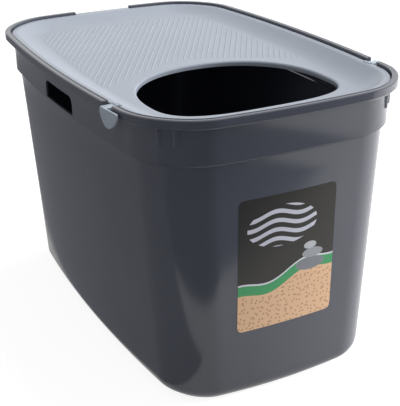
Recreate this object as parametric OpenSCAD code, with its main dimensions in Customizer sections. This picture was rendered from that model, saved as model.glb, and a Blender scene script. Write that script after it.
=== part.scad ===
// Top entry litter box: a tall drafted tub with a folded rim, a dished lid
// with an entry hole that tips up on its front edge, and two side clips that
// turn on bars in the lid's edge and hang outside the rim.
// Frame: +Z up, -Y is the front (hole end), origin on the floor below the
// middle of the tub. Sizes in millimetres.

/* [Tub] */
// Width over the rim
tub_w = 390; // [350:1:430]
// Length over the rim
tub_l = 592; // [540:1:660]
// Height to the top of the rim
tub_h = 381; // [320:1:440]
// Radius of the rim's corners, seen from above
corner_r = 78; // [66:1:90]
// Outward bow of each long side at the rim
side_bow = 18; // [8:1:22]
// Outward bow of each short side at the rim
end_bow = 12; // [4:1:16]
// Thickness of the walls
wall_t = 2.6; // [2:0.1:3.2]
// Thickness of the floor
floor_t = 3; // [2:0.1:6]
// How far each long side leans in between the collar and the floor
side_lean = 20.5; // [8:0.5:28]
// How far each short side leans in between the collar and the floor
end_lean = 8; // [4:0.5:20]
// How much tighter the corners are at the floor than at the rim
corner_taper = 22; // [14:1:30]
// How much flatter the long sides are at the floor than at the rim
bow_taper = 2.5; // [0:0.5:5]
// Height of the rounding between the walls and the floor
foot_r = 17; // [12:0.5:26]
// How far that rounding draws the floor in
foot_in = 12; // [8:0.5:20]
// Height of the upright edge that the tub stands on
foot_h = 3.4; // [2:0.2:6]
// Depth of the fine groove above that edge
foot_groove = 0.6; // [0.3:0.1:1]

/* [Collar and rim] */
// Height of the collar and rim, from the step to the top
collar_h = 60; // [54:1:80]
// From the rim's outer edge in to the collar, on the long sides
collar_in_x = 12; // [11:0.5:14]
// From the rim's outer edge in to the collar, on the short sides
collar_in_y = 9.5; // [9:0.5:12]
// Depth of the step from the collar in to the wall
step_in = 5.6; // [3:0.2:8]
// Height over which the step slopes
step_h = 4; // [3:0.5:10]
// Width of the rim's top face
lip_w = 7.6; // [6:0.2:8.4]
// Height of the rim above the ledge that carries the lid
lip_h = 7; // [5:0.5:9]
// Radius of the rim's outer top edge
lip_r = 2.4; // [1:0.2:3]
// Height of the rim's outer skirt
skirt_h = 11.6; // [10.5:0.2:14]
// Thickness of the skirt
skirt_t = 2.5; // [2:0.1:3]
// Thickness of the ledge
ledge_t = 2.5; // [2:0.1:3]
// Width of a gusset rib under the rim's corners
rib_w = 6.5; // [4:0.5:9]
// Distance from a rib's lower end up to the top of the rim
rib_drop = 35; // [24:1:44]
// How far a rib stands out from the collar
rib_out = 4.5; // [2:0.5:6]
// Angle between a corner's diagonal and each of its two ribs
rib_angle = 8; // [5:0.5:14]

/* [Handle slots] */
// Length of a handle slot
slot_l = 98; // [80:1:120]
// Height of a handle slot
slot_h = 24; // [20:1:28]
// Distance from the top of the rim down to the middle of a slot
slot_drop = 41; // [38:0.5:46]
// Radius of a slot's upper corners
slot_r = 10; // [4:1:14]

/* [Lid] */
// Gap between the lid's edge and the rim
lid_gap = 1.4; // [1:0.1:2]
// Gap between the lid and the ledge below it
seat_gap = 0.3; // [0.2:0.05:0.4]
// Thickness of the lid
lid_t = 2.5; // [2:0.1:3.2]
// Height of the raised edge of the lid
bead_h = 3.5; // [3.3:0.1:4.5]
// Width of the raised edge of the lid
bead_w = 7; // [6.6:0.2:9]
// Width of the slope from the raised edge down to the flat field
border_w = 42; // [30:1:46]
// Depth of the field at the rear, below the raised edge
dish_rear = 9.5; // [7:0.5:14]
// Depth of the field round the hole, below the raised edge
dish_front = 16; // [10:0.5:20]
// Width of the lifting tongue in the middle of the lid's rear edge
tongue_w = 92; // [60:1:120]
// Gap beside the tongue, in the rim
tongue_gap = 1; // [0.5:0.1:2]
// How far the tongue's end stays behind the rim's outer edge
tongue_inset = 0.3; // [0:0.1:3]

/* [Entry hole] */
// Width of the entry hole
hole_w = 250; // [200:1:256]
// From the front of the rim to the hole's widest line
hole_in = 146; // [140:1:170]
// From the hole's widest line to its rear edge
hole_rear = 121; // [90:1:140]
// From the hole's widest line to its front edge
hole_front = 78; // [60:1:82]
// Squareness of the hole's rear half, where 2 is an ellipse
hole_rear_n = 2.15; // [2:0.05:3]
// Squareness of its front half
hole_front_n = 3.2; // [2:0.1:4]
// Height of the turned-down edge of the hole
hole_turn = 7; // [5.5:0.5:16]
// Radius that rounds the lid into the hole
hole_r = 3; // [2.6:0.1:4]

/* [Side clips] */
// From the front of the rim to the middle of a clip's gap in the rim
clip_in = 116; // [104:1:130]
// Width of a clip's neck
neck_w = 13; // [10:0.5:16]
// How far the neck sits behind the middle of that gap
neck_back = 0.6; // [0:0.1:2]
// Gap on each side of the neck, in the lid
neck_gap = 1; // [0.6:0.1:2]
// Mean gap on each side of the neck, in the rim
notch_gap = 5.7; // [4.5:0.1:6.5]
// How far that gap goes below the skirt's edge
notch_under = 3; // [1:0.5:4]
// Radius of the bar that a clip turns on
bar_r = 1.5; // [1.2:0.05:1.6]
// Radial running clearance of a clip on its bar
bar_play = 0.05; // [0.03:0.01:0.1]
// Wall of the barrel that snaps over the bar
barrel_t = 1.6; // [1.2:0.1:1.9]
// Width of the slot that lets the barrel snap over the bar
snap_w = 2.2; // [1.6:0.1:2.4]
// Tilt of that slot, from straight down towards the lid
snap_tilt = 15; // [0:5:30]
// Thickness of a clip's tab
tab_t = 2.8; // [2:0.1:3.5]
// Width of a clip's tab
tab_w = 43; // [30:1:50]
// Height of a clip's tab
tab_h = 21; // [16:0.5:26]
// How far the tab reaches past the neck towards the front
tab_shift = 12.5; // [0:0.5:14]
// Least gap between the tab and the rim
tab_gap = 3; // [2.5:0.1:5]
// Outward flare of the tab
tab_flare = 4; // [0:0.5:8]

/* [Front label] */
// Width of the label
label_w = 134; // [80:1:140]
// Height of the label
label_h = 176; // [100:1:190]
// Thickness of the label
label_t = 0.25; // [0.15:0.05:0.5]
// Gap between the label and the wall
label_gap = 0.08; // [0.05:0.01:0.15]
// Height of the label's middle above the floor
label_z = 184; // [150:1:200]
// Middle of the label, left of the tub's middle
label_left = 4; // [0:1:14]
// Radius of the label's corners
label_r = 7; // [3:0.5:12]

/* [Hidden] */

corner_steps = 8;   // facets in a quarter circle of the outlines
long_steps = 16;    // facets along each bowed long side
short_steps = 8;    // facets along each bowed short side
over = 1;           // how far a cut runs past the face it opens
soft = 0.8;         // rounding of the moulding's small edges
tight_r = 3;        // least radius of a corner of the wall, seen from above

collar_z = tub_h - collar_h;            // lower edge of the step
ledge_z = tub_h - lip_h;                // top of the ledge that carries the lid
flange_z = ledge_z - ledge_t;           // underside of the ledge
skirt_z = tub_h - skirt_h;              // lower edge of the skirt
collar_r = corner_r - (collar_in_x + collar_in_y) / 2;
lid_z = ledge_z + seat_gap;             // underside of the lid's raised edge
lid_top = lid_z + bead_h;               // top of the lid's raised edge
clip_bar_z = lid_z + bead_h / 2;        // axis of a clip's bar
lid_in = lip_w + lid_gap;               // from the rim's outer edge to the lid's edge
hole_y = hole_in - tub_l / 2;           // the hole's widest line
clip_y = clip_in - tub_l / 2;           // middle of a clip's gap in the rim
neck_y = clip_y + neck_back;            // middle of a clip's neck
notch_w = neck_w + 2 * notch_gap;       // gap in the rim for a neck
pocket_w = neck_w + 2 * neck_gap;       // gap in the lid's edge for a neck
barrel_r = bar_r + bar_play + barrel_t; // outer radius of a clip's barrel

// ---- Outlines -------------------------------------------------------------

function mix(a, b, t) = a + (b - a) * t;

// One quarter of a rectangle with round corners, then the side that follows it
function quarter(a, cx, cy, nx, ny, r, side_steps) = concat(
    [for (i = [0:corner_steps])
        [cx + r * cos(a + 90 * i / corner_steps), cy + r * sin(a + 90 * i / corner_steps)]],
    [for (i = [1:side_steps - 1])
        [mix(cx + r * cos(a + 90), nx + r * cos(a + 90), i / side_steps),
         mix(cy + r * sin(a + 90), ny + r * sin(a + 90), i / side_steps)]]);

function round_rect(hx, hy, r) = concat(
    quarter(-90, hx - r, r - hy, hx - r, hy - r, r, long_steps),
    quarter(0, hx - r, hy - r, r - hx, hy - r, r, short_steps),
    quarter(90, r - hx, hy - r, r - hx, r - hy, r, long_steps),
    quarter(180, r - hx, r - hy, hx - r, r - hy, r, short_steps));

// Outline with bowed sides. hx and hy are half its width and length at the
// middle of the sides, bx and by how far the sides bow out past the corners.
function bowed(hx, hy, r, bx, by) = [
    for (p = round_rect(hx - bx, hy - by, r))
        [p.x * (1 + bx / (hx - bx) * (1 - pow(p.y / (hy - by), 2))),
         p.y * (1 + by / (hy - by) * (1 - pow(p.x / (hx - bx), 2)))]];

// The rim's outline, drawn in by dx on the long sides and dy on the short ones
function rim_outline(dx, dy) =
    bowed(tub_w / 2 - dx, tub_l / 2 - dy, corner_r - (dx + dy) / 2, side_bow, end_bow);

// Half width of the rim's outline at y, drawn in by d
function rim_half_w(y, d) =
    tub_w / 2 - d - side_bow * pow(y / (tub_l / 2 - end_bow - d), 2);

// The tub's wall at height z, drawn in by d
function lean(z) = 1 - z / collar_z;
function wall_hx(z) = tub_w / 2 - collar_in_x - step_in - side_lean * lean(z);
function wall_hy(z) = tub_l / 2 - collar_in_y - step_in - end_lean * lean(z);
function wall_bow(z) = side_bow - bow_taper * lean(z);
function wall_outline(z, d) = bowed(wall_hx(z) - d, wall_hy(z) - d,
    max(collar_r - step_in - (corner_taper - collar_in_x - step_in / 2) * lean(z) - d, tight_r),
    wall_bow(z), end_bow);

function at_z(outline, z) = [for (p = outline) [p.x, p.y, z]];

// ---- Skins between rings of points ----------------------------------------

// Triangles that join ring k to ring k + 1, each of n points
function band(k, n) = [
    for (i = [0:n - 1]) each [
        [k * n + i, (k + 1) * n + i, (k + 1) * n + (i + 1) % n],
        [k * n + i, (k + 1) * n + (i + 1) % n, k * n + (i + 1) % n]]];

// Solid whose skin runs through the rings, from a flat face to a flat face
module capped_skin(rings) {
    n = len(rings[0]);
    last = len(rings) - 1;
    polyhedron(
        points = [for (ring = rings) each ring],
        faces = concat(
            [for (k = [0:last - 1]) each band(k, n)],
            [[for (i = [0:n - 1]) i]],
            [[for (i = [n - 1:-1:0]) last * n + i]]),
        convexity = 10);
}

// The same rings from the last to the first, each turned the other way round,
// so that their skin still faces outwards
function from_last(rings) = [
    for (k = [len(rings) - 1:-1:0]) [for (i = [len(rings[k]) - 1:-1:0]) rings[k][i]]];

// Solid whose skin runs through the rings and back to the first one
module closed_skin(rings) {
    n = len(rings[0]);
    count = len(rings);
    polyhedron(
        points = [for (ring = rings) each ring],
        faces = [
            for (k = [0:count - 1]) for (i = [0:n - 1]) each [
                [k * n + i, (k + 1) % count * n + i, (k + 1) % count * n + (i + 1) % n],
                [k * n + i, (k + 1) % count * n + (i + 1) % n, k * n + (i + 1) % n]]],
        convexity = 10);
}

// ---- Tub ------------------------------------------------------------------

// Rings of the rounding between wall and floor, upwards from height z0, for a
// wall drawn in by d
function foot_rings(z0, d, steps) = [
    for (i = [0:steps])
        let (a = 90 * i / steps, z = z0 + (foot_r - d) * (1 - cos(a)))
        at_z(wall_outline(z, d + (foot_in - d) * (1 - sin(a))), z)];

tub_outside = concat(
    [at_z(wall_outline(0, foot_in), 0)],
    [at_z(wall_outline(0, foot_in), foot_h - foot_groove)],
    [at_z(wall_outline(0, foot_in + foot_groove), foot_h)],
    foot_rings(foot_h + foot_groove, 0, 6),
    [at_z(wall_outline(collar_z, 0), collar_z)],
    [at_z(wall_outline(collar_z, 0), collar_z + soft / 2)],
    [at_z(rim_outline(collar_in_x + soft, collar_in_y + soft), collar_z + step_h - soft)],
    [at_z(rim_outline(collar_in_x, collar_in_y), collar_z + step_h)],
    [at_z(rim_outline(collar_in_x, collar_in_y), flange_z)],
    [at_z(rim_outline(skirt_t, skirt_t), flange_z)],
    [at_z(rim_outline(skirt_t, skirt_t), skirt_z)],
    [at_z(rim_outline(0, 0), skirt_z)],
    [for (a = [0:30:90])
        at_z(rim_outline(lip_r * (1 - cos(a)), lip_r * (1 - cos(a))), tub_h - lip_r * (1 - sin(a)))]);

tub_inside = concat(
    [at_z(rim_outline(lip_w - soft, lip_w - soft), tub_h)],
    [at_z(rim_outline(lip_w, lip_w), tub_h - soft)],
    [at_z(rim_outline(lip_w, lip_w), ledge_z)],
    [at_z(rim_outline(collar_in_x + wall_t, collar_in_y + wall_t), ledge_z)],
    [at_z(rim_outline(collar_in_x + wall_t, collar_in_y + wall_t), collar_z + step_h + wall_t / 2)],
    [at_z(wall_outline(collar_z, wall_t), collar_z + wall_t / 2)],
    [for (i = [5:-1:0]) foot_rings(floor_t, wall_t, 5)[i]]);

// Block from x_in to x_out on one side, width long about y_mid, from low to high
module side_cut(side, x_in, x_out, y_mid, width, low, high) {
    translate([side > 0 ? x_in : -x_out, y_mid - width / 2, low])
        cube([x_out - x_in, width, high - low]);
}

// Handle slot through one long side: square below, rounded above
module handle_slot(side) {
    low = tub_h - slot_drop - slot_h / 2;
    x_in = tub_w / 2 - collar_in_x - wall_t - side_bow / 2;
    translate([side * x_in, 0, low])
        rotate([90, 0, side * 90])
            linear_extrude(side_bow / 2 + collar_in_x + over)
                union() {
                    translate([-slot_l / 2, 0]) square([slot_l, slot_h - slot_r]);
                    translate([slot_r - slot_l / 2, 0]) square([slot_l - 2 * slot_r, slot_h]);
                    for (x = [slot_r - slot_l / 2, slot_l / 2 - slot_r])
                        translate([x, slot_h - slot_r]) circle(r = slot_r, $fn = 32);
                }
}

// Gap through the rim and its ledge for one clip's neck and barrel
module clip_notch(side) {
    side_cut(side, rim_half_w(clip_y, collar_in_x) - wall_t - over, tub_w / 2 + over,
        clip_y, notch_w, skirt_z - notch_under, tub_h + over);
}

// Gusset rib between the collar and the ledge at one corner
module corner_rib(sx, sy, turn) {
    cx = tub_w / 2 - side_bow - corner_r;
    cy = tub_l / 2 - end_bow - corner_r;
    bow_x = side_bow * (1 - pow((cy + corner_r * sin(45 + turn)) / (cy + corner_r), 2));
    bow_y = end_bow * (1 - pow((cx + corner_r * cos(45 + turn)) / (cx + corner_r), 2));
    reach = collar_r + rib_out;
    low = tub_h - rib_drop;
    mirror([sx < 0 ? 1 : 0, 0, 0]) mirror([0, sy < 0 ? 1 : 0, 0])
        translate([cx + bow_x * cos(45), cy + bow_y * sin(45), low])
            rotate(45 + turn)
                translate([reach - rib_out - wall_t / 2, -rib_w / 2, 0])
                    cube([rib_out + wall_t / 2, rib_w, flange_z + ledge_t / 2 - low]);
}

module tub() {
    color("#4b4e55")
    union() {
        difference() {
            capped_skin(from_last(concat(tub_outside, tub_inside)));
            for (side = [-1, 1]) {
                handle_slot(side);
                clip_notch(side);
            }
            // the low gap in the rear rim for the lid's tongue
            translate([-tongue_w / 2 - tongue_gap, tub_l / 2 - lip_w - end_bow / 2, ledge_z])
                cube([tongue_w + 2 * tongue_gap, lip_w + end_bow, lip_h + over]);
        }
        for (sx = [-1, 1]) for (sy = [-1, 1]) for (turn = [-rib_angle, rib_angle])
            corner_rib(sx, sy, turn);
    }
}

// ---- Lid ------------------------------------------------------------------

field_y = tub_l / 2 - lid_in - border_w;    // rear end of the flat field

// Height of the lid's field, which falls from the rear to the hole
function field_z(y) = lid_top - mix(dish_front, dish_rear, max(0, (y - hole_y) / (field_y - hole_y)));

// Top of the border at y, a share t of the way in from the raised edge
function border_z(y, t) = mix(lid_top, field_z(y), sin(90 * t));

// Entry hole: an ellipse at the rear, squarer at the front, grown by e
function hole_point(p, e) =
    let (a = atan2(p.y - hole_y, p.x),
        n = p.y > hole_y ? hole_rear_n : hole_front_n,
        hx = hole_w / 2 + e,
        hy = (p.y > hole_y ? hole_rear : hole_front) + e,
        r = pow(pow(abs(cos(a)) / hx, n) + pow(abs(sin(a)) / hy, n), -1 / n))
    [r * cos(a), hole_y + r * sin(a)];

// Rings of the lid, each a list of points. down is how far below the top skin.
function edge_ring(d, z) = at_z(rim_outline(lid_in + d, lid_in + d), z);
function border_ring(t, down) = [
    for (p = rim_outline(lid_in + mix(bead_w, border_w, t), lid_in + mix(bead_w, border_w, t)))
        [p.x, p.y, border_z(p.y, t) - down]];
function field_ring(t, down) = [
    for (p = rim_outline(lid_in + border_w, lid_in + border_w))
        let (q = mix(p, hole_point(p, hole_r + lid_t), t))
        [q.x, q.y, field_z(q.y) - down]];
function hole_ring(e, down) = [
    for (p = rim_outline(lid_in + border_w, lid_in + border_w))
        let (q = hole_point(p, e), s = hole_point(p, hole_r + lid_t))
        [q.x, q.y, field_z(s.y) - down]];

lid_rings = concat(
    [edge_ring(0, lid_z)],
    [for (a = [0:30:90]) edge_ring(2 * soft * (1 - cos(a)), lid_top - 2 * soft * (1 - sin(a)))],
    [for (t = [0, 0.12, 0.3, 0.5, 0.7, 0.88, 1]) border_ring(t, 0)],
    [for (t = [0.5, 1]) field_ring(t, 0)],
    [for (a = [90:-30:0]) hole_ring(hole_r * (1 - cos(a)), hole_r * (1 - sin(a)))],
    [hole_ring(0, hole_turn), hole_ring(lid_t, hole_turn), hole_ring(lid_t, lid_t + hole_r / 2)],
    [for (t = [1, 0.5]) field_ring(t, lid_t)],
    [for (t = [1, 0.88, 0.7, 0.5, 0.3, 0.12, 0]) border_ring(t, lid_t)],
    [edge_ring(bead_w, lid_z)]);

clip_bar_x = rim_half_w(clip_y, lid_in) - barrel_r;     // from the middle to a clip's bar

// Pocket in the lid's edge that a clip's barrel turns in
module lid_pocket(side) {
    side_cut(side, clip_bar_x - barrel_r - neck_gap / 2, clip_bar_x + barrel_r + lid_gap,
        neck_y, pocket_w, lid_z - over, lid_top + over);
}

module clip_bar(side) {
    translate([side * clip_bar_x, neck_y + pocket_w / 2 + over, clip_bar_z])
        rotate([90, 0, 0]) cylinder(r = bar_r, h = pocket_w + 2 * over, $fn = 32);
}

// Tongue in the middle of the rear edge, for lifting the lid
module lid_tongue() {
    intersection() {
        translate([-tongue_w / 2, tub_l / 2 - lid_in - end_bow / 2, lid_z])
            cube([tongue_w, lid_in + end_bow, bead_h - soft / 2]);
        translate([0, 0, lid_z - over])
            linear_extrude(bead_h + 2 * over) polygon(rim_outline(tongue_inset, tongue_inset));
    }
}

module lid() {
    color("#b3bac4")
    union() {
        difference() {
            closed_skin(lid_rings);
            for (side = [-1, 1]) lid_pocket(side);
        }
        for (side = [-1, 1]) clip_bar(side);
        lid_tongue();
    }
}

// ---- Side clips -----------------------------------------------------------

tab_y = clip_y - tab_shift;                             // middle of a tab
tab_face = rim_half_w(clip_y, 0) + tab_gap;             // its inner face, at the neck
tab_toe = 1;                                            // extra turn that keeps the tab's ends clear
tab_turn = atan(2 * side_bow * abs(tab_y) / pow(tub_l / 2 - end_bow, 2)) + tab_toe;

// Tab outline: flat on top, half an ellipse below. x runs to the rear.
function tab_outline(steps) = concat(
    [[tab_w / 2, 0], [-tab_w / 2, 0]],
    [for (i = [0:steps]) let (a = 180 + 180 * i / steps)
        [tab_w / 2 * cos(a), (tab_h - tab_t * 2) * sin(a) - 2 * tab_t]]);

// The left clip, with its bar along Y
module clip() {
    neck_low = clip_bar_z - tab_t / 2;
    difference() {
        union() {
            translate([-clip_bar_x, neck_y + neck_w / 2, clip_bar_z])
                rotate([90, 0, 0]) cylinder(r = barrel_r, h = neck_w, $fn = 40);
            translate([-tab_face - tab_t / 2, neck_y - neck_w / 2, neck_low])
                cube([tab_face + tab_t / 2 - clip_bar_x, neck_w, tab_t]);
            translate([-tab_face, clip_y, neck_low + tab_t])
                rotate([0, tab_flare, tab_turn])
                    translate([-tab_t, -tab_shift, 0])
                        rotate([90, 0, 90]) linear_extrude(tab_t) polygon(tab_outline(24));
        }
        translate([-clip_bar_x, neck_y + neck_w / 2 + over, clip_bar_z])
            rotate([90, 0, 0]) cylinder(r = bar_r + bar_play, h = neck_w + 2 * over, $fn = 32);
        // the slot that lets the barrel snap over the bar
        translate([-clip_bar_x, neck_y - neck_w / 2 - over, clip_bar_z - 2 * barrel_r])
            rotate([0, snap_tilt, 0])
                translate([-snap_w / 2, 0, 0]) cube([snap_w, neck_w + 2 * over, 2 * barrel_r]);
    }
}

module left_clip() {
    color("#8f98a3") clip();
}

module right_clip() {
    color("#8f98a3") mirror([1, 0, 0]) clip();
}

// ---- Front label ----------------------------------------------------------

// Outer face of the front wall at x and z
function front_y(x, z) = -wall_hy(z) + end_bow * pow(x / (wall_hx(z) - wall_bow(z)), 2);

// Half width of the label at height h from its middle
function label_half(h) =
    let (k = max(0, abs(h) - label_h / 2 + label_r))
    label_w / 2 - label_r + sqrt(max(0, label_r * label_r - k * k));

label_cols = 16;
label_rows = concat(
    [for (a = [90:-22.5:0]) label_r * (1 - sin(a)) - label_h / 2],
    [for (i = [1:4]) (i / 2.5 - 1) * (label_h / 2 - label_r)],
    [for (a = [0:22.5:90]) label_h / 2 - label_r * (1 - sin(a))]);

// One loop of points round the label at row height h: front face, then back face
function label_ring(h) =
    let (z = label_z + h, half = label_half(h))
    concat(
        [for (i = [0:label_cols]) let (x = mix(-half, half, i / label_cols) - label_left)
            [x, front_y(x, z) - label_gap - label_t, z]],
        [for (i = [label_cols:-1:0]) let (x = mix(-half, half, i / label_cols) - label_left)
            [x, front_y(x, z) - label_gap, z]]);

// The label's lower or upper end, ring k, as small pieces from its front face
// to its back face, because its whole end is too thin to fill in one piece
function label_end(k) =
    let (n = 2 * (label_cols + 1), a = k * n)
    [for (i = [0:label_cols - 1]) each [
        [a + i, a + i + 1, a + n - 2 - i], [a + i, a + n - 2 - i, a + n - 1 - i]]];

module front_label() {
    last = len(label_rows) - 1;
    color("#2b2c2e") polyhedron(
        points = [for (h = label_rows) each label_ring(h)],
        faces = concat(
            [for (k = [0:last - 1]) each band(k, 2 * (label_cols + 1))],
            label_end(0),
            [for (t = label_end(last)) [t[2], t[1], t[0]]]),
        convexity = 4);
}

tub();
lid();
left_clip();
right_clip();
front_label();
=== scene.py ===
from math import cos, pi, radians, sin

import bpy
import numpy as np
from mathutils import Matrix, Vector


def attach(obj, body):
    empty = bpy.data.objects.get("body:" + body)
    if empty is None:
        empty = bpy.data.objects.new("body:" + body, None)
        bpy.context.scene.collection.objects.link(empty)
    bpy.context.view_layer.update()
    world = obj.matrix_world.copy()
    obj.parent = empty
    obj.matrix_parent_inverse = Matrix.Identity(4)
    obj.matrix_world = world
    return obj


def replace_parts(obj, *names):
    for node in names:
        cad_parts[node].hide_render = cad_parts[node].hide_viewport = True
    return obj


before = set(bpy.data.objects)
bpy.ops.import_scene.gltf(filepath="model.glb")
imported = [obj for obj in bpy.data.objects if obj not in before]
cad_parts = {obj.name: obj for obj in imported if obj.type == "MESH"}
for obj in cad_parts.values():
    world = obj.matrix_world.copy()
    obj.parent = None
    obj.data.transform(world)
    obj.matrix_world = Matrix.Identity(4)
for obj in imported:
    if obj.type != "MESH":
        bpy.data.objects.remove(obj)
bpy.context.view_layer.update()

# ---- Camera ---------------------------------------------------------------
# The photograph was taken from the front left, a little above the lid, with a
# long lens. Distance, angles and lens were fitted to the tub's outlines.
azimuth, elevation, roll = radians(-27.221), radians(23.595), radians(-0.926)
distance, target = 1.38008, Vector((0.01432, -0.01376, 0.15248))
back = Vector((sin(azimuth) * cos(elevation), -cos(azimuth) * cos(elevation), sin(elevation)))
right = Vector((cos(azimuth), sin(azimuth), 0))
up = back.cross(right)
camera_data = bpy.data.cameras.new("camera")
camera_data.sensor_width, camera_data.lens = 36, 84.331
camera = bpy.data.objects.new("camera", camera_data)
camera.matrix_world = Matrix.Translation(target + distance * back) @ Matrix((
    right * cos(roll) + up * sin(roll), up * cos(roll) - right * sin(roll), back)).transposed().to_4x4()
bpy.context.scene.collection.objects.link(camera)
bpy.context.scene.camera = camera

# ---- Studio ---------------------------------------------------------------
# A white paper floor under a white room, with a soft box overhead, a stronger one
# that rakes the front wall from the right and a weak fill from the left. Two glowing
# cards that only glossy rays see paint dark reflections into the gloss: a dark one
# past the paper's front edge and a grey one at its left.
def linear(text):
    """Linear colour of an sRGB hex value."""
    parts = [int(text[i:i + 2], 16) / 255 for i in (1, 3, 5)]
    return [c / 12.92 if c <= 0.04045 else ((c + 0.055) / 1.055) ** 2.4 for c in parts] + [1]


def add(tree, kind, inputs=None, **settings):
    """Adds a node with its settings, and links or sets its inputs."""
    node = tree.nodes.new(kind)
    for name, value in settings.items():
        setattr(node, name, value)
    for key, value in (inputs or {}).items():
        if isinstance(value, bpy.types.NodeSocket):
            tree.links.new(value, node.inputs[key])
        else:
            node.inputs[key].default_value = value
    return node


scene = bpy.context.scene
scene.view_settings.view_transform = "Standard"

world = bpy.data.worlds.new("white_room")
scene.world = world
world.use_nodes = True
tree = world.node_tree
tree.nodes.clear()
rays = add(tree, "ShaderNodeLightPath").outputs
seen = add(tree, "ShaderNodeMath", {0: rays["Is Camera Ray"], 1: rays["Is Glossy Ray"]},
           operation="MAXIMUM")
seen = add(tree, "ShaderNodeMath", {0: seen.outputs[0], 1: rays["Is Transmission Ray"]},
           operation="MAXIMUM")
strength = add(tree, "ShaderNodeMapRange", {"Value": seen.outputs[0], "To Min": 0.34, "To Max": 1.0})
room = add(tree, "ShaderNodeBackground", {"Color": linear("#ffffff"), "Strength": strength.outputs[0]})
add(tree, "ShaderNodeOutputWorld", {"Surface": room.outputs[0]})

paper = bpy.data.materials.new("white_background_paper")
paper.use_nodes = True
tree = paper.node_tree
tree.nodes.clear()
rays = add(tree, "ShaderNodeLightPath").outputs
seen = add(tree, "ShaderNodeMath", {0: rays["Is Camera Ray"], 1: 0.86}, operation="MULTIPLY")
mirrored = add(tree, "ShaderNodeMath", {0: rays["Is Glossy Ray"], 1: 0.56}, operation="MULTIPLY")
glow = add(tree, "ShaderNodeMath", {0: seen.outputs[0], 1: mirrored.outputs[0]}, operation="MAXIMUM")
lit = add(tree, "ShaderNodeBsdfDiffuse", {"Color": linear("#a8a8a8")})
lift = add(tree, "ShaderNodeEmission", {"Color": linear("#ffffff"), "Strength": glow.outputs[0]})
both = add(tree, "ShaderNodeAddShader", {0: lit.outputs[0], 1: lift.outputs[0]})
add(tree, "ShaderNodeOutputMaterial", {"Surface": both.outputs[0]})


def card(name, corners, material):
    """A flat piece of the stage with those corners."""
    mesh = bpy.data.meshes.new(name)
    mesh.from_pydata(corners, [], [range(len(corners))])
    mesh.materials.append(material)
    obj = bpy.data.objects.new(name, mesh)
    scene.collection.objects.link(obj)
    return obj


card("floor", [(-6, -6, 0), (6, -6, 0), (6, 6, 0), (-6, 6, 0)], paper)

# Painted reflections: glowing cards past the paper's front and left edges, seen only by glossy rays
paper_edge = 0.50                       # from the tub's middle, towards the camera
ahead = Vector((sin(azimuth), -cos(azimuth), 0))
in_front = [ahead * along + right * across + Vector((0, 0, 0.0005))
            for along, across in ((paper_edge, -3), (4, -3), (4, 3), (paper_edge, 3))]
at_left = [(x, y, 0.001) for x, y in ((-5, -0.34), (-0.16, -0.34), (-0.16, 5), (-5, 5))]
for name, corners, tint in (("dark_studio_floor", in_front, "#54586a"), ("grey_table", at_left, "#82848a")):
    shade = bpy.data.materials.new(name)
    shade.use_nodes = True
    tree = shade.node_tree
    tree.nodes.clear()
    add(tree, "ShaderNodeOutputMaterial", {"Surface": add(
        tree, "ShaderNodeEmission", {"Color": linear(tint), "Strength": 1.0}).outputs[0]})
    seen_in_gloss = card(name, corners, shade)
    for kind in ("camera", "diffuse", "transmission", "volume_scatter", "shadow"):
        setattr(seen_in_gloss, "visible_" + kind, False)


def soft_box(name, place, aim, size, watts):
    """A rectangular area lamp at place, turned towards aim."""
    data = bpy.data.lights.new(name, "AREA")
    data.shape, data.size, data.size_y = "RECTANGLE", *size
    data.energy = watts
    obj = bpy.data.objects.new(name, data)
    obj.location = place
    obj.rotation_euler = (Vector(aim) - Vector(place)).to_track_quat("-Z", "Y").to_euler()
    scene.collection.objects.link(obj)
    return obj


overhead = soft_box("overhead_soft_box", (1.0, 0.0, 2.05), (0, 0, 0.3), (1.6, 1.6), 46)
raking = soft_box("raking_soft_box", (2.3, -0.85, 0.8), (0, -0.2, 0.2), (1.0, 1.0), 78)
fill = soft_box("left_fill", (-2.3, -0.5, 1.0), (0, 0, 0.2), (1.2, 1.2), 6)
for lamp in (overhead, raking, fill):   # flagged off from the gloss
    lamp.visible_glossy = False

# ---- Tub ------------------------------------------------------------------
# One deep shot of recycled polypropylene from a polished mould. Its walls lean
# out and bow, a step leads to the collar, and the edge folds over into a rim
# with a ledge inside it that carries the lid.
MM = 0.001
rim_half = (195, 296)                   # half width and length over the rim
rim_z, ledge_z, flange_z, skirt_z = 381, 374, 371.5, 369.4
corner_r, bow = 78, (18, 12)
collar_in = (12, 9.5)
step_z, step_in, step_h = 321, 5.6, 4
lean = (20.5, 8)
corner_taper, bow_taper = 22, 2.5
foot_in, foot_r, foot_h, groove = 12, 17, 3.4, 0.8
wall_t, floor_t, skirt_t = 2.6, 3, 2.5
lip_w, lip_r = 7.6, 1.5
corner_steps, long_steps, short_steps = 24, 60, 44


def outline(hx, hy, r, bx, by):
    """Round rectangle with bowed sides, anticlockwise from above."""
    sx, sy = hx - bx, hy - by
    points = []
    for k, (cx, cy, steps) in enumerate(((sx - r, r - sy, long_steps), (sx - r, sy - r, short_steps),
                                         (r - sx, sy - r, long_steps), (r - sx, r - sy, short_steps))):
        turn = (k - 1) * pi / 2 + np.linspace(0, pi / 2, corner_steps + 1)
        arc = np.c_[cx + r * np.cos(turn), cy + r * np.sin(turn)]
        run = 2 * ((sy - r) if k % 2 == 0 else (sx - r))
        side = np.array([-sin(turn[-1]), cos(turn[-1])]) * run
        points += [arc, arc[-1] + np.linspace(0, 1, steps + 1)[1:-1, None] * side]
    x, y = np.vstack(points).T
    return np.c_[x * (1 + bx / sx * (1 - (y / sy) ** 2)), y * (1 + by / sy * (1 - (x / sx) ** 2))]


def rim(dx, dy=None):
    """The rim's outline, drawn in by dx and dy."""
    dy = dx if dy is None else dy
    return outline(rim_half[0] - dx, rim_half[1] - dy, corner_r - (dx + dy) / 2, *bow)


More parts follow.
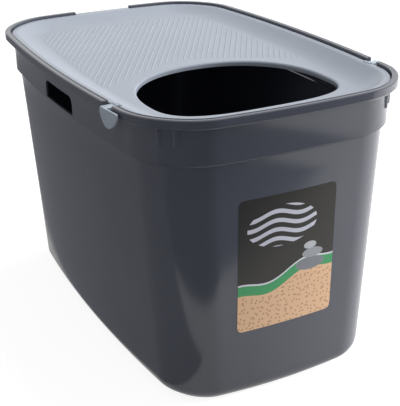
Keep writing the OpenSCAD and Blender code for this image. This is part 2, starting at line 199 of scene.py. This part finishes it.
def wall(z, d):
    """The wall's outline at height z, drawn in by d."""
    low = 1 - z / step_z
    hx = rim_half[0] - collar_in[0] - step_in - lean[0] * low
    hy = rim_half[1] - collar_in[1] - step_in - lean[1] * low
    r = corner_r - sum(collar_in) / 2 - step_in - (corner_taper - collar_in[0] - step_in / 2) * low
    return outline(hx - d, hy - d, r - d, bow[0] - bow_taper * low, bow[1])


def at(points, z):
    return np.c_[points, np.full(len(points), float(z))]


def arc_steps(count):
    return np.linspace(0, pi / 2, count + 1)


def foot(z0, d, count):
    """The rounding between wall and floor, upwards from z0."""
    return [at(wall(z0 + (foot_r - d) * (1 - cos(a)), d + (foot_in - d) * (1 - sin(a))),
               z0 + (foot_r - d) * (1 - cos(a))) for a in arc_steps(count)]


def step(d, z0):
    """The step from the wall out to the collar: a tight fillet, a ledge, then a sharp bevel."""
    low, high = wall(step_z, d), rim(collar_in[0] + d, collar_in[1] + d)
    profile = [(0, 0), (0.02, 0.4), (0.08, 0.6), (0.42, 0.7), (0.48, 0.85), (1, 3.7), (1, step_h)]
    return [at(low + (high - low) * out, z0 + rise) for out, rise in profile]


def skin(name, rings, closed=False):
    """Mesh through rings of points in mm, with flat ends or back to the first ring."""
    n, count = len(rings[0]), len(rings)
    k = np.arange(count if closed else count - 1)[:, None]
    i = np.arange(n)[None, :]
    a, b = k * n, (k + 1) % count * n
    j = (i + 1) % n
    faces = np.stack([a + i, a + j, b + j, b + i], -1).reshape(-1, 4).tolist()
    if not closed:
        faces += [list(range(n))[::-1], [(count - 1) * n + m for m in range(n)]]
    mesh = bpy.data.meshes.new(name)
    mesh.from_pydata((np.vstack(rings) * MM).tolist(), [], faces)
    mesh.update()
    obj = bpy.data.objects.new(name, mesh)
    scene.collection.objects.link(obj)
    return obj


def slab(name, points, plane, low, high):
    """Block with that outline in mm, extruded along the axis that plane lacks."""
    order = {"xy": (0, 1, 2), "yz": (2, 0, 1), "xz": (0, 2, 1)}[plane]
    rings = [np.c_[points, np.full(len(points), float(h))][:, order] for h in (low, high)]
    if plane == "xz":
        rings.reverse()
    return skin(name, rings)


def bake(piece):
    """Turns a piece and its modifiers into a plain mesh."""
    graph = bpy.context.evaluated_depsgraph_get()
    mesh = bpy.data.meshes.new_from_object(piece.evaluated_get(graph))
    piece.modifiers.clear()
    piece.data = mesh
    return piece


def combine(piece, others, operation):
    """Cuts the others from the piece, or joins them to it."""
    for other in others:
        modifier = piece.modifiers.new("cut", "BOOLEAN")
        modifier.object, modifier.operation, modifier.solver = other, operation, "EXACT"
    bake(piece)
    for other in others:
        bpy.data.objects.remove(other)
    return piece


def finish(piece, material, body, sharp=35):
    """Smooth shading with sharp edges past an angle, the material and the body."""
    piece.data.shade_smooth()
    piece.data.set_sharp_from_angle(angle=radians(sharp))
    piece.data.materials.clear()
    piece.data.materials.append(material)
    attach(piece, body)
    return piece


def rectangle(x0, x1, y0, y1, r=0.0, steps=6):
    """Rectangle in mm with corners of radius r."""
    if not r:
        return np.array([(x0, y0), (x1, y0), (x1, y1), (x0, y1)], float)
    centres = ((x1 - r, y0 + r, -1), (x1 - r, y1 - r, 0), (x0 + r, y1 - r, 1), (x0 + r, y0 + r, 2))
    return np.vstack([np.c_[cx + r * np.cos(k * pi / 2 + arc_steps(steps)),
                            cy + r * np.sin(k * pi / 2 + arc_steps(steps))] for cx, cy, k in centres])


edge = 0.8                              # rounding of the moulding's small edges
shell = [at(wall(0, foot_in + edge), 0), at(wall(0, foot_in), edge),
         at(wall(0, foot_in), foot_h - groove), at(wall(0, foot_in + groove), foot_h - groove / 2),
         at(wall(0, foot_in + groove), foot_h + groove / 2)]
shell += foot(foot_h + groove, 0, 12)
shell += [at(wall(z, 0), z) for z in np.linspace(foot_h + groove + foot_r, step_z, 12)[1:-1]]
shell += step(0, step_z)
shell += [at(rim(*collar_in), flange_z - 1.2),
          at(rim(collar_in[0] - 0.4, collar_in[1] - 0.4), flange_z - 0.4),
          at(rim(collar_in[0] - 1.2, collar_in[1] - 1.2), flange_z)]
shell += [at(rim(skirt_t), flange_z), at(rim(skirt_t), skirt_z + 0.2), at(rim(skirt_t - 0.2), skirt_z),
          at(rim(1.9), skirt_z), at(rim(0), skirt_z + 1.9), at(rim(0), rim_z - lip_r - 1)]
shell += [at(rim(lip_r * (1 - cos(a))), rim_z - lip_r * (1 - sin(a))) for a in arc_steps(7)]
shell += [at(rim(lip_w - edge * cos(a)), rim_z - edge * (1 - cos(a - pi / 2))) for a in arc_steps(3)]
shell += [at(rim(lip_w), rim_z - edge), at(rim(lip_w), ledge_z + 0.4), at(rim(lip_w + 0.4), ledge_z)]
inner = (collar_in[0] + wall_t, collar_in[1] + wall_t)
shell += [at(rim(inner[0] - 0.5, inner[1] - 0.5), ledge_z), at(rim(*inner), ledge_z - 0.5)]
shell += step(wall_t, step_z + wall_t / 2)[::-1]
shell += [at(wall(z, wall_t), z) for z in np.linspace(floor_t + foot_r - wall_t, step_z, 12)[1:-1][::-1]]
shell += foot(floor_t, wall_t, 10)[::-1]
tub = skin("tub_shell", shell)

# Handle slots, clip notches and the low gap for the lid's tongue are windows
# that slides in the mould leave open.
slot_half, slot_low, slot_high, slot_r = 49, 328, 352, 10
clip_y, notch_half, notch_low, bar_x, bar_z, barrel_r = -180, 12.2, 366.4, 175.14, 376.05, 3.2
tongue_half = 46
turn = arc_steps(10)
slot_outline = np.vstack([
    [(-slot_half, slot_low), (slot_half, slot_low)],
    np.c_[slot_half - slot_r + slot_r * np.cos(turn), slot_high - slot_r + slot_r * np.sin(turn)],
    np.c_[slot_r - slot_half - slot_r * np.sin(turn), slot_high - slot_r + slot_r * np.cos(turn)]])
windows = []
for side in (-1, 1):
    span = sorted((side * 165, side * 200))
    windows.append(slab("slot", slot_outline, "yz", *span))
    low, high = sorted((side * (bar_x - barrel_r - 0.5), side * 200))
    windows.append(slab("notch", rectangle(low, high, clip_y - notch_half, clip_y + notch_half), "xy",
                        notch_low, 390))
windows.append(slab("rear_gap", rectangle(-tongue_half - 1, tongue_half + 1, 282, 300), "xy", ledge_z, 390))
combine(tub, windows, "DIFFERENCE")


def moulded(name, hexes, roughness, flow_mm, grain_mm, grain_depth_mm, ior=1.49):
    """Injection-moulded polypropylene: slow drifts of tone and gloss where the melt
    flowed, and a fine skin grain."""
    material = bpy.data.materials.new(name)
    material.use_nodes = True
    tree = material.node_tree
    tree.nodes.clear()
    place = add(tree, "ShaderNodeTexCoord").outputs["Object"]
    flow = add(tree, "ShaderNodeTexNoise", {"Vector": place, "Scale": 1 / (flow_mm * MM), "Detail": 3.0})
    tone = add(tree, "ShaderNodeMapRange", {"Value": flow.outputs["Fac"], "From Min": 0.3, "From Max": 0.7})
    colour = add(tree, "ShaderNodeMix", {0: tone.outputs[0], 6: linear(hexes[0]), 7: linear(hexes[1])},
                 data_type="RGBA")
    speck = add(tree, "ShaderNodeTexNoise", {"Vector": place, "Scale": 1 / (3 * MM), "Detail": 4.0})
    gloss = add(tree, "ShaderNodeMapRange", {
        "Value": speck.outputs["Fac"], "From Min": 0.3, "From Max": 0.7,
        "To Min": roughness[0], "To Max": roughness[1]})
    grain = add(tree, "ShaderNodeTexNoise", {"Vector": place, "Scale": 1 / (grain_mm * MM), "Detail": 2.0})
    bump = add(tree, "ShaderNodeBump", {"Height": grain.outputs["Fac"], "Strength": 1.0,
                                        "Distance": grain_depth_mm * MM})
    surface = add(tree, "ShaderNodeBsdfPrincipled", {
        "Base Color": colour.outputs[2], "Roughness": gloss.outputs[0], "IOR": ior,
        "Normal": bump.outputs[0]})
    add(tree, "ShaderNodeOutputMaterial", {"Surface": surface.outputs[0]})
    return material


# A polished mould gives the dark walls a near mirror gloss with a trace of waviness
tub_plastic = moulded("glossy_recycled_polypropylene", ("#4a4d57", "#4f525c"), (0.13, 0.17),
                      160, 1.2, 0.003, 1.56)
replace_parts(finish(tub, tub_plastic, "tub"), "tub")

# ---- Corner ribs ----------------------------------------------------------
# Two short gussets under the rim at each corner, moulded with the tub, where
# stacked tubs rest on each other.
rib_w, rib_out, rib_low = 11, 3.2, 346
across = np.linspace(-rib_w / 2, rib_w / 2, 17)
rib_profile = np.vstack([np.c_[rib_out * np.cos(pi * across / rib_w) - 0.3, across],
                         [(-1.5, rib_w / 2), (-1.5, -rib_w / 2)]])
rib = slab("rib", rib_profile, "xy", rib_low, flange_z + 1)
soften = rib.modifiers.new("soften", "BEVEL")
soften.width, soften.segments, soften.limit_method = 0.7 * MM, 3, "ANGLE"
bake(rib)

marks = bpy.data.meshes.new("rib_marks")
places, turns = [], []
collar_r = corner_r - sum(collar_in) / 2
centre = np.array([rim_half[0] - bow[0] - corner_r, rim_half[1] - bow[1] - corner_r])
for sx in (-1, 1):
    for sy in (-1, 1):
        for turn in (radians(37), radians(53)):
            reach = centre + corner_r * np.array([cos(turn), sin(turn)])
            swell = np.array(bow) * (1 - (reach[::-1] / (centre + corner_r)[::-1]) ** 2)
            spot = centre + swell * cos(pi / 4) + collar_r * np.array([cos(turn), sin(turn)])
            places.append((sx * spot[0] * MM, sy * spot[1] * MM, 0))
            turns.append(np.arctan2(sy * sin(turn), sx * cos(turn)))
marks.from_pydata(places, [], [])
marks.attributes.new("turn", "FLOAT", "POINT").data.foreach_set("value", turns)
ribs = bpy.data.objects.new("corner_ribs", marks)
scene.collection.objects.link(ribs)


def new_tree(name, inputs):
    """Geometry tree with those named inputs, and its group input and output."""
    tree = bpy.data.node_groups.new(name, "GeometryNodeTree")
    tree.interface.new_socket("Geometry", in_out="INPUT", socket_type="NodeSocketGeometry")
    for label, kind in inputs.items():
        tree.interface.new_socket(label, in_out="INPUT", socket_type="NodeSocket" + kind)
    tree.interface.new_socket("Geometry", in_out="OUTPUT", socket_type="NodeSocketGeometry")
    return tree, add(tree, "NodeGroupInput").outputs


def run_tree(piece, tree, values):
    """Runs a geometry tree on the piece with those inputs and bakes it."""
    modifier = piece.modifiers.new(tree.name, "NODES")
    modifier.node_group = tree
    for item in tree.interface.items_tree:
        if item.item_type == "SOCKET" and item.in_out == "INPUT" and item.name in values:
            modifier[item.identifier] = values[item.name]
    return bake(piece)


tree, given = new_tree("rib_at_each_mark", {"Rib": "Object", "Plastic": "Material"})
shape = add(tree, "GeometryNodeObjectInfo", {"Object": given["Rib"]}).outputs["Geometry"]
turned = add(tree, "GeometryNodeInputNamedAttribute", {"Name": "turn"}, data_type="FLOAT")
angles = add(tree, "ShaderNodeCombineXYZ", {"Z": turned.outputs["Attribute"]}).outputs[0]
copies = add(tree, "GeometryNodeInstanceOnPoints", {
    "Points": given["Geometry"], "Instance": shape, "Rotation": angles})
solid = add(tree, "GeometryNodeRealizeInstances", {0: copies.outputs[0]})
dressed = add(tree, "GeometryNodeSetMaterial", {"Geometry": solid.outputs[0], "Material": given["Plastic"]})
add(tree, "NodeGroupOutput", {0: dressed.outputs[0]})
run_tree(ribs, tree, {"Rib": rib, "Plastic": tub_plastic})
bpy.data.objects.remove(rib)
finish(ribs, tub_plastic, "tub")

# ---- Lid ------------------------------------------------------------------
# One satin moulding: a raised edge that drops into the rim, a dished border, a
# field that falls towards the front, and a D-shaped hole with its edge turned
# down.
lid_in, lid_z, lid_top, lid_t = 9.0, 374.3, 377.8, 2.5
bead_w, border_w, bead_r, bead_fall = 8.6, 42, 2.0, 0.55
dish_rear, dish_front = 9.5, 16
hole_y, hole_half, hole_rear, hole_front, hole_turn, hole_r = -150, 125, 121, 78, 7, 3
field_y = rim_half[1] - lid_in - border_w


def field_z(y):
    """The field's height, which falls from the rear to the hole."""
    share = np.clip((y - hole_y) / (field_y - hole_y), 0, 1)
    return lid_top - (dish_front + (dish_rear - dish_front) * share)


def hole(points, grow):
    """The hole's outline in the directions of the points, grown outwards."""
    x, y = points[:, 0], points[:, 1] - hole_y
    a = np.arctan2(y, x)
    power = np.where(y > 0, 2.15, 3.2)
    hy = np.where(y > 0, hole_rear, hole_front) + grow
    r = ((np.abs(np.cos(a)) / (hole_half + grow)) ** power
         + (np.abs(np.sin(a)) / hy) ** power) ** (-1 / power)
    return np.c_[r * np.cos(a), hole_y + r * np.sin(a)]


def border_ring(t, down):
    p = rim(lid_in + bead_w + (border_w - bead_w) * t)
    top = lid_top - bead_fall
    z = top + (field_z(p[:, 1]) - top) * sin(pi * t / 2) - down
    return np.c_[p, z]


def field_ring(t, down):
    p = rim(lid_in + border_w)
    q = p + (hole(p, hole_r + lid_t) - p) * t
    return np.c_[q, field_z(q[:, 1]) - down]


def hole_ring(grow, down):
    p = rim(lid_in + border_w)
    return np.c_[hole(p, grow), field_z(hole(p, hole_r + lid_t)[:, 1]) - down]


shares = np.linspace(0, 1, 15)
bead_profile = ((3.4, 0.0), (5.4, 0.02), (7.0, 0.12), (7.8, 0.28))     # inwards, down
cover = [at(rim(lid_in + 0.4), lid_z), at(rim(lid_in), lid_z + 0.4)]
cover += [at(rim(lid_in + bead_r * (1 - cos(a))), lid_top - bead_r * (1 - sin(a))) for a in arc_steps(6)]
cover += [at(rim(lid_in + d), lid_top - fall) for d, fall in bead_profile]
cover += [border_ring(t, 0) for t in shares]
cover += [field_ring(t, 0) for t in np.linspace(0, 1, 9)[1:]]
cover += [hole_ring(hole_r * (1 - cos(a)), hole_r * (1 - sin(a))) for a in arc_steps(7)[::-1]]
cover += [hole_ring(0, hole_turn - 0.5), hole_ring(0.5, hole_turn), hole_ring(lid_t - 0.5, hole_turn),
          hole_ring(lid_t, hole_turn - 0.5), hole_ring(lid_t, lid_t + hole_r)]
cover += [hole_ring(lid_t + hole_r / 2 * (1 - cos(a)), lid_t + hole_r * (1 - sin(a)))
          for a in arc_steps(3)[1:]]
cover += [field_ring(t, lid_t) for t in np.linspace(1, 0, 9)[:-1]]
cover += [border_ring(t, lid_t) for t in shares[::-1]]
cover += [at(rim(lid_in + bead_w), lid_z)]
lid = skin("lid_cover", cover, closed=True)
neck_y, neck_half = clip_y + 0.6, 6.5     # where each clip's neck crosses the edge
pockets = []
for side in (-1, 1):
    low, high = sorted((side * (bar_x - barrel_r - 0.45), side * (bar_x + barrel_r + 4)))
    pocket = rectangle(low, high, neck_y - neck_half - 1, neck_y + neck_half + 1)
    pockets.append(slab("pocket", pocket, "xy", lid_z - 5, lid_top + 5))
combine(lid, pockets, "DIFFERENCE")

# A lightly blasted mould gives the lid its satin skin
lid_plastic = moulded("satin_polypropylene", ("#8a919c", "#8f96a1"), (0.30, 0.36), 200, 0.9, 0.004)
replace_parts(finish(lid, lid_plastic, "lid"), "lid")

# ---- Anti-slip ridges -----------------------------------------------------
# Fine parallel ridges cut into the mould, slanting across the field, that
# scrape litter off the cat's feet. They fade out at the field's edge.
ridge_pitch, ridge_slant, ridge_w, ridge_h, ridge_fade = 7.75, 31, 1.8, 0.7, 7
ridge_count, ridge_reach, ridge_sink = 73, 0.3, 0.6
field_half, field_rear = 148, 232
x = np.linspace(-field_half, field_half, 75)
front_line = np.c_[x, 12 - np.sqrt(144 + (0.56 * x) ** 2)]
x = field_half * np.cos(np.linspace(radians(20), radians(160), 60))
rear_line = np.c_[x, field_rear - 14 * (x / field_half) ** 2 - 70 * np.abs(x / field_half) ** 14]
field_face = bpy.data.meshes.new("ridged_field")
spots = np.vstack([front_line, rear_line])
field_face.from_pydata(np.c_[spots * MM, np.full(len(spots), 0.5)].tolist(), [], [range(len(spots))])
field = bpy.data.objects.new("ridged_field", field_face)
scene.collection.objects.link(field)

ridges = bpy.data.objects.new("lid_ridges", bpy.data.meshes.new("lid_ridges"))
scene.collection.objects.link(ridges)
tree, given = new_tree("ridges_on_the_field", {
    "Lid": "Object", "Field": "Object", "Pitch": "Float", "Slant": "Float", "Half Width": "Float",
    "Height": "Float", "Fade": "Float", "Plastic": "Material"})
start = add(tree, "ShaderNodeMath", {0: given["Pitch"], 1: -0.5 * (ridge_count - 1)},
            operation="MULTIPLY").outputs[0]
first = add(tree, "ShaderNodeCombineXYZ", {"X": start}).outputs[0]
pace = add(tree, "ShaderNodeCombineXYZ", {"X": given["Pitch"]}).outputs[0]
row = add(tree, "GeometryNodeMeshLine", {"Count": ridge_count, "Start Location": first, "Offset": pace},
          mode="OFFSET")
line = add(tree, "GeometryNodeCurvePrimitiveLine", {
    "Start": (0, -ridge_reach, 0.6), "End": (0, ridge_reach, 0.6)})
line = add(tree, "GeometryNodeResampleCurve", {"Curve": line.outputs[0], "Count": 300})
lines = add(tree, "GeometryNodeInstanceOnPoints", {"Points": row.outputs[0], "Instance": line.outputs[0]})
lines = add(tree, "GeometryNodeRealizeInstances", {0: lines.outputs[0]})
slant = add(tree, "ShaderNodeCombineXYZ", {"Z": given["Slant"]}).outputs[0]
lines = add(tree, "GeometryNodeTransform", {"Geometry": lines.outputs[0], "Rotation": slant})
outline_face = add(tree, "GeometryNodeObjectInfo", {"Object": given["Field"]}).outputs["Geometry"]
below = add(tree, "GeometryNodeRaycast", {"Target Geometry": outline_face, "Ray Direction": (0, 0, -1),
                                          "Ray Length": 1.0}).outputs
outside = add(tree, "FunctionNodeBooleanMath", {0: below["Is Hit"]}, operation="NOT").outputs[0]
lines = add(tree, "GeometryNodeDeleteGeometry", {"Geometry": lines.outputs[0], "Selection": outside},
            domain="POINT")
# a ridge of under four points would sweep to a stub, or to two caps on one ring
points = add(tree, "GeometryNodeSplineLength").outputs["Point Count"]
stub = add(tree, "ShaderNodeMath", {0: points, 1: 4.0}, operation="LESS_THAN").outputs[0]
lines = add(tree, "GeometryNodeDeleteGeometry", {"Geometry": lines.outputs[0], "Selection": stub},
            domain="CURVE")
away = add(tree, "GeometryNodeProximity", {
    "Geometry": outline_face, "Sample Position": below["Hit Position"]},
    target_element="EDGES").outputs["Distance"]
fade = add(tree, "ShaderNodeMapRange", {"Value": away, "From Max": given["Fade"], "To Min": 0.3},
           interpolation_type="SMOOTHSTEP").outputs[0]
lines = add(tree, "GeometryNodeSetCurveRadius", {"Curve": lines.outputs[0], "Radius": fade})
lid_face = add(tree, "GeometryNodeObjectInfo", {"Object": given["Lid"]}).outputs["Geometry"]
landed = add(tree, "GeometryNodeRaycast", {"Target Geometry": lid_face, "Ray Direction": (0, 0, -1),
                                           "Ray Length": 1.0}).outputs["Hit Position"]
sink = add(tree, "ShaderNodeMapRange", {
    "Value": away, "From Max": given["Fade"], "To Min": -ridge_sink * MM, "To Max": 0.0},
    interpolation_type="SMOOTHSTEP").outputs[0]
sink = add(tree, "ShaderNodeCombineXYZ", {"Z": sink}).outputs[0]
lines = add(tree, "GeometryNodeSetPosition", {
    "Geometry": lines.outputs[0], "Position": landed, "Offset": sink})
# Z_UP lays the curve's normal flat, so the profile's X is width and its Y height
lines = add(tree, "GeometryNodeSetCurveNormal", {"Curve": lines.outputs[0]}, mode="Z_UP")
size = add(tree, "ShaderNodeCombineXYZ", {
    "X": given["Half Width"], "Y": given["Height"], "Z": 1.0}).outputs[0]
rod = add(tree, "GeometryNodeCurvePrimitiveCircle", {"Resolution": 12, "Radius": 1.0}).outputs[0]
rod = add(tree, "GeometryNodeTransform", {"Geometry": rod, "Scale": size}).outputs[0]
bars = add(tree, "GeometryNodeCurveToMesh", {
    "Curve": lines.outputs[0], "Profile Curve": rod, "Fill Caps": True})
solid = add(tree, "GeometryNodeRealizeInstances", {0: bars.outputs[0]})
dressed = add(tree, "GeometryNodeSetMaterial", {"Geometry": solid.outputs[0], "Material": given["Plastic"]})
add(tree, "NodeGroupOutput", {0: dressed.outputs[0]})
run_tree(ridges, tree, {
    "Lid": lid, "Field": field, "Pitch": ridge_pitch * MM, "Slant": -radians(ridge_slant),
    "Half Width": ridge_w / 2 * MM, "Height": ridge_h * MM, "Fade": ridge_fade * MM,
    "Plastic": lid_plastic})
bpy.data.objects.remove(field)
finish(ridges, lid_plastic, "lid")

# ---- Lifting tongue and clip bars -----------------------------------------
# Moulded with the lid: a flat tongue that fills the gap in the rear rim, and
# a bar across the pocket on each side that a clip snaps on.
outer = rim(0.3)
outer = outer[(np.abs(outer[:, 0]) <= tongue_half) & (outer[:, 1] > 0)]
outer = outer[np.argsort(-outer[:, 0])]
tongue_root = 279.5
tongue = slab("lid_tongue", np.vstack([
    [(-tongue_half, tongue_root), (tongue_half, tongue_root)],
    [(tongue_half, outer[0, 1])], outer, [(-tongue_half, outer[-1, 1])]]), "xy", lid_z, lid_top - 0.4)
soften = tongue.modifiers.new("soften", "BEVEL")
soften.width, soften.segments, soften.limit_method = 0.8 * MM, 3, "ANGLE"
finish(bake(tongue), lid_plastic, "lid")

bar_r = 1.5
ring = np.linspace(0, 2 * pi, 33)[:-1]
for side, name in ((-1, "left"), (1, "right")):
    round_bar = np.c_[side * bar_x + bar_r * np.cos(ring), bar_z + bar_r * np.sin(ring)]
    bar = slab(name + "_clip_bar", round_bar, "xz", neck_y - neck_half - 2, neck_y + neck_half + 2)
    finish(bar, lid_plastic, "lid")

# ---- Side clips -----------------------------------------------------------
# Small snap-on mouldings: a split barrel that turns on the lid's bar, a neck
# through the notch in the rim, and a shield-shaped tab that hangs outside.
# The clips are the lid's plastic; their base colour is painted lighter than the lid's to stand for the
# light on their sideways faces
clip_plastic_painted_lighter = moulded("satin_polypropylene_clip_painted_lighter", ("#9aa4b0", "#9fa9b4"), (0.26, 0.34), 60, 0.8, 0.004)
tab_t, tab_w, tab_h, tab_shift, tab_face = 2.8, 39.5, 21, 14, 190.8
snap_r, bore_r, mouth_half, mouth_turn, cut_half = 3.15, 1.55, 1.1, 15, 12
fall = 1 - np.cos(np.linspace(0, pi / 2, 24)) ** 1.4
flank = np.c_[tab_w / 2 * (1 - fall ** 1.5) ** 0.55, -3 - (tab_h - 3) * fall]
shield = np.vstack([[(tab_w / 2 - 2, 0), (2 - tab_w / 2, 0), (0.6 - tab_w / 2, -0.6)],
                    flank * (-1, 1), flank[-2::-1], [(tab_w / 2 - 0.6, -0.6)]])
hang = (Matrix.Translation((-tab_face, clip_y, bar_z + tab_t / 2))
        @ Matrix.Rotation(radians(5.9), 4, "Z") @ Matrix.Rotation(radians(4), 4, "Y"))
for side, name, body in ((-1, "left_clip_tab", "left_clip"), (1, "right_clip_tab", "right_clip")):
    clip = slab(name, shield + [-tab_shift, 0], "yz", -tab_t, 0)
    clip.data.transform(Matrix.Scale(1 / MM, 4))
    clip.data.transform(hang)
    clip.data.transform(Matrix.Scale(MM, 4))
    soften = clip.modifiers.new("soften", "BEVEL")
    soften.width, soften.segments, soften.limit_method = 0.9 * MM, 4, "ANGLE"
    bake(clip)
    neck = slab("neck", rectangle(-tab_face - tab_t / 2, -bar_x, bar_z - tab_t / 2, bar_z + tab_t / 2,
                                  0.9, 4), "xz", neck_y - neck_half, neck_y + neck_half)
    barrel = slab("barrel", np.c_[snap_r * np.cos(ring) - bar_x, snap_r * np.sin(ring) + bar_z], "xz",
                  neck_y - neck_half, neck_y + neck_half)
    combine(clip, [neck, barrel], "UNION")
    bore = slab("bore", np.c_[bore_r * np.cos(ring) - bar_x, bore_r * np.sin(ring) + bar_z], "xz",
                clip_y - cut_half, clip_y + cut_half)
    mouth = slab("mouth", rectangle(-mouth_half, mouth_half, -2 * snap_r, 0), "xz",
                 clip_y - cut_half, clip_y + cut_half)
    mouth.data.transform(Matrix.Translation((-bar_x * MM, 0, bar_z * MM))
                         @ Matrix.Rotation(radians(mouth_turn), 4, "Y"))
    combine(clip, [bore, mouth], "DIFFERENCE")
    if side > 0:
        clip.data.transform(Matrix.Scale(-1, 4, (1, 0, 0)))
        clip.data.flip_normals()
    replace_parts(finish(clip, clip_plastic_painted_lighter, body, 50), body)

# ---- Front label ----------------------------------------------------------
# A printed self-adhesive film with rounded corners, rubbed flat onto the
# front wall. Its print is a plain design of this file's own.
label_half, label_corner, label_z, label_x, film_t, film_gap = (67, 88), 7, 184, -4, 0.25, 0.08
turn = arc_steps(6)
heights = np.r_[-label_half[1] + label_corner * (1 - np.cos(turn)), np.linspace(-1, 1, 21)[1:-1] * (
    label_half[1] - label_corner), (label_half[1] - label_corner * (1 - np.cos(turn)))[::-1]]


def front(x, z):
    """The front wall's outer face at x and z."""
    low = 1 - z / step_z
    hx = rim_half[0] - collar_in[0] - step_in - lean[0] * low - bow[0] + bow_taper * low
    return -(rim_half[1] - collar_in[1] - step_in - lean[1] * low) + bow[1] * (x / hx) ** 2


film = []
for h in heights:
    k = max(0.0, abs(h) - label_half[1] + label_corner)
    half = label_half[0] - label_corner + (label_corner ** 2 - k ** 2) ** 0.5
    x = np.linspace(-1, 1, 41) * half + label_x
    near, far = front(x, label_z + h) - film_gap - film_t, front(x, label_z + h) - film_gap
    z = np.full(len(x), label_z + h)
    film.append(np.vstack([np.c_[x, near, z], np.c_[x, far, z][::-1]]))
label = skin("front_label_film", film)

# Coated paper film: flat printed inks under a thin clear varnish
label_film = bpy.data.materials.new("printed_varnished_film")
label_film.use_nodes = True
tree = label_film.node_tree
tree.nodes.clear()
place = add(tree, "ShaderNodeTexCoord").outputs["Object"]
place = add(tree, "ShaderNodeMapping", {"Vector": place, "Location": (-label_x, 0, -label_z),
                                        "Scale": (1000, 1000, 1000)}).outputs[0]
axes = add(tree, "ShaderNodeSeparateXYZ", {0: place}).outputs
wave = add(tree, "ShaderNodeMath", {0: axes["X"], 1: 1 / 15}, operation="MULTIPLY").outputs[0]
wave = add(tree, "ShaderNodeMath", {0: wave}, operation="SINE").outputs[0]
wave = add(tree, "ShaderNodeMath", {0: wave, 1: 6.0, 2: -30.0}, operation="MULTIPLY_ADD").outputs[0]
hill = add(tree, "ShaderNodeMath", {0: axes["X"], 1: 0.2, 2: wave}, operation="MULTIPLY_ADD").outputs[0]
over_hill = add(tree, "ShaderNodeMath", {0: axes["Z"], 1: hill}, operation="SUBTRACT").outputs[0]
bands = add(tree, "ShaderNodeMapRange", {
    "Value": over_hill, "From Min": -100.0, "From Max": 100.0}).outputs[0]
inks = add(tree, "ShaderNodeValToRGB", {"Fac": bands})
inks.color_ramp.interpolation = "CONSTANT"
stops = ((0.0, "#e6bd98"), (0.5, "#3f9c62"), (0.565, "#d9dbe3"), (0.575, "#262421"))
while len(inks.color_ramp.elements) < len(stops):
    inks.color_ramp.elements.new(0.9)
for element, (spot, ink) in zip(inks.color_ramp.elements, stops):
    element.position, element.color = spot, linear(ink)
inks = inks.outputs["Color"]

# pale wavy bands, as raked sand, in the dark field
bend = add(tree, "ShaderNodeMath", {0: axes["X"], 1: 1 / 11}, operation="MULTIPLY").outputs[0]
bend = add(tree, "ShaderNodeMath", {0: bend}, operation="SINE").outputs[0]
bend = add(tree, "ShaderNodeMath", {0: bend, 1: 4.0, 2: axes["Z"]}, operation="MULTIPLY_ADD").outputs[0]
beat = add(tree, "ShaderNodeMath", {0: bend, 1: 12.0}, operation="MODULO").outputs[0]
beat = add(tree, "ShaderNodeMath", {0: beat, 1: 5.5}, operation="LESS_THAN").outputs[0]


def oval(x, z, half_x, half_z):
    """1 inside that oval on the label, in mm from its middle, and 0 outside."""
    spot = add(tree, "ShaderNodeVectorMath", {0: place, 1: (x, 0.0, z)}, operation="SUBTRACT").outputs[0]
    spot = add(tree, "ShaderNodeVectorMath", {0: spot, 1: (1 / half_x, 0.0, 1 / half_z)},
               operation="MULTIPLY").outputs[0]
    spot = add(tree, "ShaderNodeVectorMath", {0: spot}, operation="LENGTH").outputs["Value"]
    return add(tree, "ShaderNodeMath", {0: spot, 1: 1.0}, operation="LESS_THAN").outputs[0]


patch = oval(-8.0, 47.0, 48, 27)
raked = add(tree, "ShaderNodeMath", {0: beat, 1: patch}, operation="MULTIPLY").outputs[0]
inks = add(tree, "ShaderNodeMix", {0: raked, 6: inks, 7: linear("#c9cad8")}, data_type="RGBA").outputs[2]

# a stack of river stones on the hill
for spread, ink in (((33, -14, 21, 8.5), "#7f848b"), ((36, 0, 15, 6.5), "#9ba0a6"),
                    ((32, 11, 9, 5), "#bcc0c5")):
    inks = add(tree, "ShaderNodeMix", {0: oval(*spread), 6: inks, 7: linear(ink)},
               data_type="RGBA").outputs[2]

# darker pebbles scattered in the sand
flat = add(tree, "ShaderNodeCombineXYZ", {"X": axes["X"], "Y": axes["Z"]}).outputs[0]
grit = add(tree, "ShaderNodeTexVoronoi", {"Vector": flat, "Scale": 1 / 6, "Randomness": 1.0},
           voronoi_dimensions="2D").outputs["Distance"]
pebble = add(tree, "ShaderNodeMath", {0: grit, 1: 0.22}, operation="LESS_THAN").outputs[0]
sand = add(tree, "ShaderNodeMath", {0: over_hill, 1: -3.0}, operation="LESS_THAN").outputs[0]
pebble = add(tree, "ShaderNodeMath", {0: pebble, 1: sand}, operation="MULTIPLY").outputs[0]
inks = add(tree, "ShaderNodeMix", {0: pebble, 6: inks, 7: linear("#bf9470")}, data_type="RGBA").outputs[2]
surface = add(tree, "ShaderNodeBsdfPrincipled", {"Base Color": inks, "Roughness": 0.32, "IOR": 1.5})
add(tree, "ShaderNodeOutputMaterial", {"Surface": surface.outputs[0]})
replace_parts(finish(label, label_film, "tub"), "front_label")
